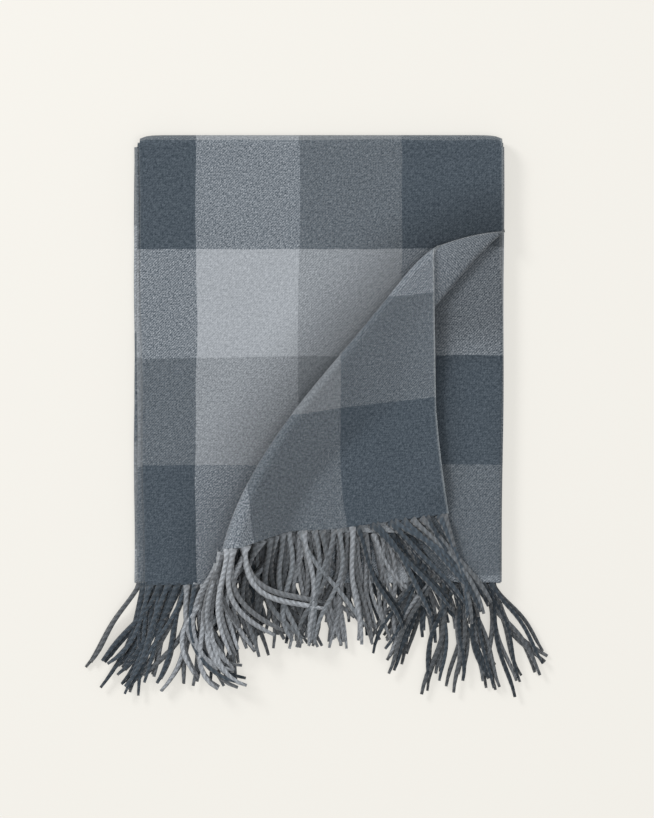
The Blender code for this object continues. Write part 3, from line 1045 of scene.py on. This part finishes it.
def cloth_material():
    """Brushed twill: stripes of warp and weft crossing into checks, heathered yarn, diagonals and fuzz,
    with painted shade in the twill's grooves and beside folds.
    """
    material = bpy.data.materials.get("plaid_twill")
    if material:
        return material
    material = bpy.data.materials.new("plaid_twill")
    material.use_nodes = True
    nodes = Nodes(material)
    uv, across, along = nodes.uv()
    fuzz_edge = nodes.math("MULTIPLY", nodes.math("SUBTRACT", nodes.noise(uv, 900.0), 0.5), 0.0016)
    drift = nodes.math("MULTIPLY", nodes.math("SUBTRACT", nodes.noise(uv, 7.0), 0.5), 0.0080)
    edge = nodes.math("ADD", fuzz_edge, drift)
    warp = stripes(nodes, nodes.math("ADD", across, edge), WARP_CHECK, WARP_SHIFT, 0.0, CLOTH_WIDTH)
    weft = stripes(nodes, nodes.math("ADD", along, edge), WEFT_CHECK, -WEFT_SHIFT, WEFT_SHIFT, LAST_WEFT)
    twill = sizes().twill_width
    wobble = nodes.math("MULTIPLY", nodes.math("SUBTRACT", nodes.noise(uv, 200.0), 0.5), 5.0)
    slant = nodes.math("DIVIDE", nodes.math("ADD", across, along), twill)
    wave = nodes.math("SINE", nodes.math("ADD", nodes.math("MULTIPLY", slant, 6.2832), wobble))
    fleck = nodes.range(nodes.noise(uv, 730.0, 1.5, 0.6), 0.36, 0.64, 0.0, 1.0)
    shown = nodes.math("ADD", nodes.range(wave, -0.8, 0.8, 0.0, 0.34), nodes.math("MULTIPLY", fleck, 0.66))
    colour = nodes.blend(shown, warp, weft)
    selvedge = nodes.range(across, 0.0006, 0.0024, 0.50, 0.0)
    colour = nodes.blend(selvedge, colour, SELVEDGE)
    warp_heather = nodes.noise(nodes.stretched(uv, (1.0, 0.4, 1.0)), 760.0, 1.5, 0.6)
    weft_heather = nodes.noise(nodes.stretched(uv, (0.4, 1.0, 1.0)), 760.0, 1.5, 0.6)
    heather = nodes.math("ADD", nodes.range(warp_heather, 0.35, 0.65, 0.88, 1.12),
                         nodes.range(weft_heather, 0.35, 0.65, -0.12, 0.12))
    patch = nodes.range(nodes.noise(uv, 28.0, 3.0), 0.3, 0.7, 0.98, 1.02)
    # Painted shade and light of the twill's relief: a little darker in the grooves of the diagonals, a
    # little lighter on their ridges.
    groove = nodes.range(wave, -1.0, 1.0, -0.04, 0.04)
    shade = nodes.math("ADD", nodes.math("MULTIPLY", heather, patch), groove)
    shade = nodes.math("MULTIPLY", nodes.math("SUBTRACT", shade, 1.0), 0.30)
    gamma = nodes.tree.nodes.new("ShaderNodeGamma")
    gamma.inputs["Gamma"].default_value = GAMMA
    nodes.put(nodes.blend(1.0, colour, nodes.grey(shade), "ADD"), gamma.inputs["Color"])
    # Painted shade: the colour is darkened towards black by the shade that the pieces carry beside folds
    # and under the pleat.
    tucked = nodes.tree.nodes.new("ShaderNodeAttribute")
    tucked.attribute_name = "tucked"
    shaded_colour = nodes.blend(tucked.outputs["Fac"], gamma.outputs["Color"], (0.0, 0.0, 0.0, 1.0))
    nodes.put(shaded_colour, nodes.shader.inputs["Base Color"])
    fuzz = nodes.noise(uv, 2200.0, 3.0, 0.7)
    height = nodes.math("ADD", nodes.math("MULTIPLY", wave, 0.35), nodes.math("MULTIPLY", fuzz, 0.9))
    nodes.bump(height, 0.35, 0.0006)
    nodes.surface({"Roughness": 0.92, "Specular IOR Level": 0.12, "Sheen Weight": 0.30,
                   "Sheen Roughness": 0.45, "Sheen Tint": (0.86, 0.88, 0.90, 1.0)})
    return material


def fringe_material():
    """Twisted two-ply yarn: slanting plies with painted shade in the grooves between them, heathered fibres
    and soft fuzz.
    """
    material = bpy.data.materials.get("twisted_yarn")
    if material:
        return material
    material = bpy.data.materials.new("twisted_yarn")
    material.use_nodes = True
    nodes = Nodes(material)
    _, around, along = nodes.uv()
    yarn = nodes.tree.nodes.new("ShaderNodeVertexColor")
    yarn.layer_name = "yarn"
    turns = nodes.math("ADD", nodes.math("MULTIPLY", around, 2.0),
                       nodes.math("DIVIDE", along, sizes().ply_pitch / 2))
    wave = nodes.math("SINE", nodes.math("MULTIPLY", turns, 6.2832))
    coords = nodes.tree.nodes.new("ShaderNodeTexCoord").outputs["Object"]
    heather = nodes.range(nodes.noise(coords, 1100.0, 3.0, 0.7), 0.25, 0.75, 0.72, 1.28)
    # Painted shade in the grooves between the plies, a little lighter on their crowns.
    groove = nodes.range(wave, -1.0, 0.6, 0.78, 1.08)
    shade = nodes.math("MULTIPLY", heather, groove)
    colour = nodes.blend(1.0, yarn.outputs["Color"], nodes.grey(shade), "MULTIPLY")
    nodes.put(colour, nodes.shader.inputs["Base Color"])
    height = nodes.math("ADD", nodes.math("MULTIPLY", wave, 0.8),
                        nodes.math("MULTIPLY", nodes.noise(coords, 2500.0, 2.0), 0.5))
    nodes.bump(height, 0.7, 0.0009)
    nodes.surface({"Roughness": 0.9, "Specular IOR Level": 0.12, "Sheen Weight": 0.35,
                   "Sheen Roughness": 0.45})
    return material


def floor_material():
    """Plain matt floor with a little light of its own, which keeps shadows on it faint."""
    material = bpy.data.materials.new("pale_floor")
    material.use_nodes = True
    shade = [channel * FLOOR_SHADE for channel in colours().floor]
    Nodes(material).surface({"Base Color": (*shade, 1.0), "Emission Color": (*colours().floor, 1.0),
                             "Emission Strength": FLOOR_GLOW, "Roughness": 1.0, "Specular IOR Level": 0.0})
    return material


# --- floor, light and camera ---

def add_area(name, place, size, watts):
    """A soft square light that faces the middle of the blanket."""
    light = bpy.data.lights.new(name, "AREA")
    light.size = size
    light.energy = watts
    lamp = bpy.data.objects.new(name, light)
    lamp.location = place
    lamp.rotation_euler = (-Vector(place)).to_track_quat("-Z", "Y").to_euler()
    bpy.context.scene.collection.objects.link(lamp)


class BLANKET_OT_stage(bpy.types.Operator):
    """Add the floor, the soft studio light and the camera overhead"""
    bl_idname = "blanket.stage"
    bl_label = "Floor, light and camera"

    def execute(self, context):
        bm = bmesh.new()
        bmesh.ops.create_grid(bm, x_segments=1, y_segments=1, size=6.0)
        bmesh.ops.translate(bm, verts=bm.verts, vec=(0, 0, -0.0004))
        mesh = bpy.data.meshes.new("floor")
        bm.to_mesh(mesh)
        bm.free()
        mesh.materials.append(floor_material())
        floor = bpy.data.objects.new("floor", mesh)
        context.scene.collection.objects.link(floor)
        world = bpy.data.worlds.new("studio")
        world.use_nodes = True
        backdrop = world.node_tree.nodes["Background"]
        backdrop.inputs["Color"].default_value = (1.0, 1.0, 1.0, 1.0)
        backdrop.inputs["Strength"].default_value = ROOM_LIGHT
        context.scene.world = world
        for lamp in LAMPS:
            add_area(*lamp)
        camera = bpy.data.cameras.new("camera")
        camera.sensor_width = 36.0
        camera.lens = 36.0 * CAMERA_DISTANCE / VIEW_HEIGHT
        camera.clip_end = 50.0
        eye = bpy.data.objects.new("camera", camera)
        eye.location = VIEW_CENTRE + Vector((0, 0, CAMERA_DISTANCE))
        context.scene.collection.objects.link(eye)
        context.scene.camera = eye
        context.scene.view_settings.view_transform = "Standard"
        return {"FINISHED"}


class BLANKET_OT_declare(bpy.types.Operator):
    """Gather the side fold and the raised fringe strands of each ply, and keep nothing"""
    bl_idname = "blanket.declare"
    bl_label = "Declare the cloth"

    def execute(self, context):
        pieces = bpy.data.objects
        raised = ("pleat_fringe", "arch_fringe_strands", "corner_fringe_strands")
        raised_strands = [piece for piece in pieces if piece.name.startswith(raised)]
        for name, hangers in (("face", raised_strands), ("lining", [])):
            hangers = [pieces["side_fold_" + name]] + hangers
        return {"FINISHED"}


class BLANKET_PT_panel(bpy.types.Panel):
    """Sizes, colours and steps of the blanket"""
    bl_label = "Folded throw blanket"
    bl_idname = "BLANKET_PT_panel"
    bl_space_type = "VIEW_3D"
    bl_region_type = "UI"
    bl_category = "Blanket"

    def draw(self, context):
        layout = self.layout
        for group in (context.scene.blanket_sizes, context.scene.blanket_colours):
            for name in group.__annotations__:
                layout.prop(group, name)
        for step in STEPS_IN_ORDER:
            layout.operator(step.bl_idname)


STEPS_IN_ORDER = (BLANKET_OT_lower_cloth, BLANKET_OT_upper_cloth, BLANKET_OT_top_fold, BLANKET_OT_top_ply,
                  BLANKET_OT_side_fold, BLANKET_OT_corner, BLANKET_OT_hem_fringe, BLANKET_OT_corner_fringe,
                  BLANKET_OT_declare, BLANKET_OT_stage)
CLASSES = (BlanketSizes, BlanketColours, *STEPS_IN_ORDER, BLANKET_PT_panel)


def register():
    """Make the sizes, colours, steps and panel known."""
    for item in CLASSES:
        bpy.utils.register_class(item)
    bpy.types.Scene.blanket_sizes = PointerProperty(type=BlanketSizes)
    bpy.types.Scene.blanket_colours = PointerProperty(type=BlanketColours)


def unregister():
    """Take them all away again."""
    del bpy.types.Scene.blanket_sizes
    del bpy.types.Scene.blanket_colours
    for item in reversed(CLASSES):
        bpy.utils.unregister_class(item)


def main():
    """Build the blanket and its stage."""
    register()
    bpy.ops.blanket.lower_cloth()
    bpy.ops.blanket.upper_cloth()
    bpy.ops.blanket.top_fold()
    bpy.ops.blanket.top_ply()
    bpy.ops.blanket.side_fold()
    bpy.ops.blanket.corner()
    bpy.ops.blanket.hem_fringe()
    bpy.ops.blanket.corner_fringe()
    bpy.ops.blanket.declare()
    bpy.ops.blanket.stage()


if __name__ == "__main__":
    main()
